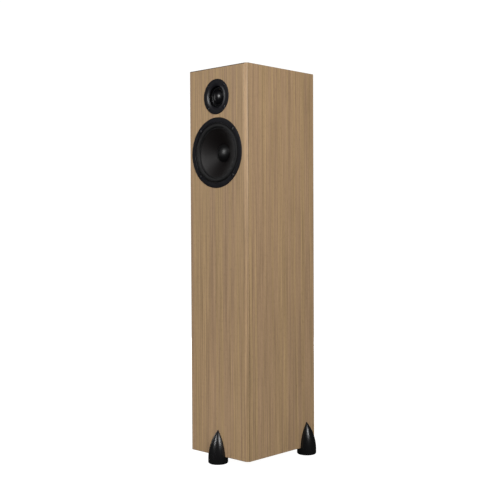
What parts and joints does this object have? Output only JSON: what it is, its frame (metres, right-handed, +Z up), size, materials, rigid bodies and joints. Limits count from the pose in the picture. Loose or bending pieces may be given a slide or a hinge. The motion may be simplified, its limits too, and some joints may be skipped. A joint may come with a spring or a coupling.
{
  "type": "floorstanding speaker",
  "caption": "Slim floorstanding loudspeaker: veneered cabinet with chamfered front edges, dome tweeter above a cone woofer, rear port and terminals, on black claw feet.",
  "frame": {"origin": "on the floor under the middle of the whole object's box, feet and terminal knobs included", "axes": "+Z up, the drive units face -Y, the terminals face +Y, +X is the speaker's left-hand side as it faces the listener"},
  "size_m": [0.2422, 0.2878, 0.937],
  "materials": {
    "veneer": "satin straight-grained light brown veneer",
    "foot_black": "satin black paint",
    "driver_black": "fine matt black moulding",
    "rubber": "matt black rubber",
    "cone_black": "pressed black paper",
    "gloss_black": "polished black",
    "plywood": "raw plywood",
    "black_steel": "blackened steel",
    "steel": "zinc-plated steel",
    "ferrite": "dark grey sintered ferrite",
    "copper": "enamelled copper wire",
    "spider_cloth": "impregnated woven cloth",
    "brass": "gold-plated brass",
    "red_plastic": "moulded red plastic",
    "circuit_board": "green circuit board",
    "capacitor": "shrink-sleeved film",
    "ceramic": "white cement case",
    "wadding": "bonded polyester wadding",
    "cable": "black cable jacket"
  },
  "bodies": {
    "enclosure": {"front_baffle": "veneer", "left_side_panel": "veneer", "right_side_panel": "veneer", "top_panel": "veneer", "bottom_panel": "veneer", "rear_panel": "veneer", "front_foot": "foot_black", "rear_left_foot": "foot_black", "rear_right_foot": "foot_black", "woofer_basket": "driver_black", "tweeter_faceplate": "driver_black", "tweeter_rear_chamber": "driver_black", "port_tube": "driver_black", "terminal_plate": "driver_black", "woofer_surround": "rubber", "woofer_trim_ring": "rubber", "tweeter_surround": "rubber", "lower_brace": "plywood", "upper_brace": "plywood", "front_foot_screw": "black_steel", "rear_left_foot_screw": "black_steel", "rear_right_foot_screw": "black_steel", "woofer_screw_1": "black_steel", "woofer_screw_2": "black_steel", "woofer_screw_3": "black_steel", "woofer_screw_4": "black_steel", "tweeter_screw_1": "black_steel", "tweeter_screw_2": "black_steel", "tweeter_screw_3": "black_steel", "tweeter_screw_4": "black_steel", "woofer_top_plate": "steel", "woofer_yoke": "steel", "tweeter_top_plate": "steel", "tweeter_yoke": "steel", "woofer_magnet": "ferrite", "tweeter_magnet": "ferrite", "woofer_inductor": "copper", "tweeter_inductor": "copper", "woofer_spider": "spider_cloth", "negative_post_stud": "brass", "positive_post_stud": "brass", "crossover_board": "circuit_board", "woofer_wiring_tag": "circuit_board", "woofer_capacitor": "capacitor", "tweeter_capacitor": "capacitor", "tweeter_resistor": "ceramic", "left_damping_pad": "wadding", "right_damping_pad": "wadding", "woofer_cable": "cable", "tweeter_cable": "cable"},
    "woofer_moving": {"woofer_cone": "cone_black", "woofer_dust_cap": "gloss_black", "woofer_voice_coil": "copper"},
    "tweeter_moving": {"tweeter_dome": "gloss_black", "tweeter_voice_coil": "copper"},
    "negative_washer": {"negative_post_washer": "brass"},
    "negative_knob": {"negative_post_knob": "driver_black"},
    "positive_washer": {"positive_post_washer": "brass"},
    "positive_knob": {"positive_post_knob": "red_plastic"}
  },
  "joints": [
    {"name": "woofer_slide", "type": "slide", "parent": "enclosure", "child": "woofer_moving", "axis": [0, 1, 0], "range_m": [-0.005, 0.005], "stiffness_N_per_m": 1000, "deforming": ["woofer_surround", "woofer_spider"]},
    {"name": "tweeter_slide", "type": "slide", "parent": "enclosure", "child": "tweeter_moving", "axis": [0, 1, 0], "range_m": [-0.0005, 0.0005], "stiffness_N_per_m": 2000, "deforming": ["tweeter_surround"]},
    {"name": "negative_washer_slide", "type": "slide", "parent": "enclosure", "child": "negative_washer", "axis": [0, 1, 0], "range_m": [0, 0.005]},
    {"name": "negative_knob_turn", "type": "hinge", "parent": "negative_washer", "child": "negative_knob", "pos_m": [-0.019, 0.1205, 0.157], "axis": [0, 1, 0], "range_deg": [0, 1800]},
    {"name": "positive_washer_slide", "type": "slide", "parent": "enclosure", "child": "positive_washer", "axis": [0, 1, 0], "range_m": [0, 0.005]},
    {"name": "positive_knob_turn", "type": "hinge", "parent": "positive_washer", "child": "positive_knob", "pos_m": [0.019, 0.1205, 0.157], "axis": [0, 1, 0], "range_deg": [0, 1800]}
  ],
  "couplings": [
    {"joint": "negative_knob_turn", "follows": "negative_washer_slide", "rad_per_m": 6283.2},
    {"joint": "positive_knob_turn", "follows": "positive_washer_slide", "rad_per_m": 6283.2}
  ]
}
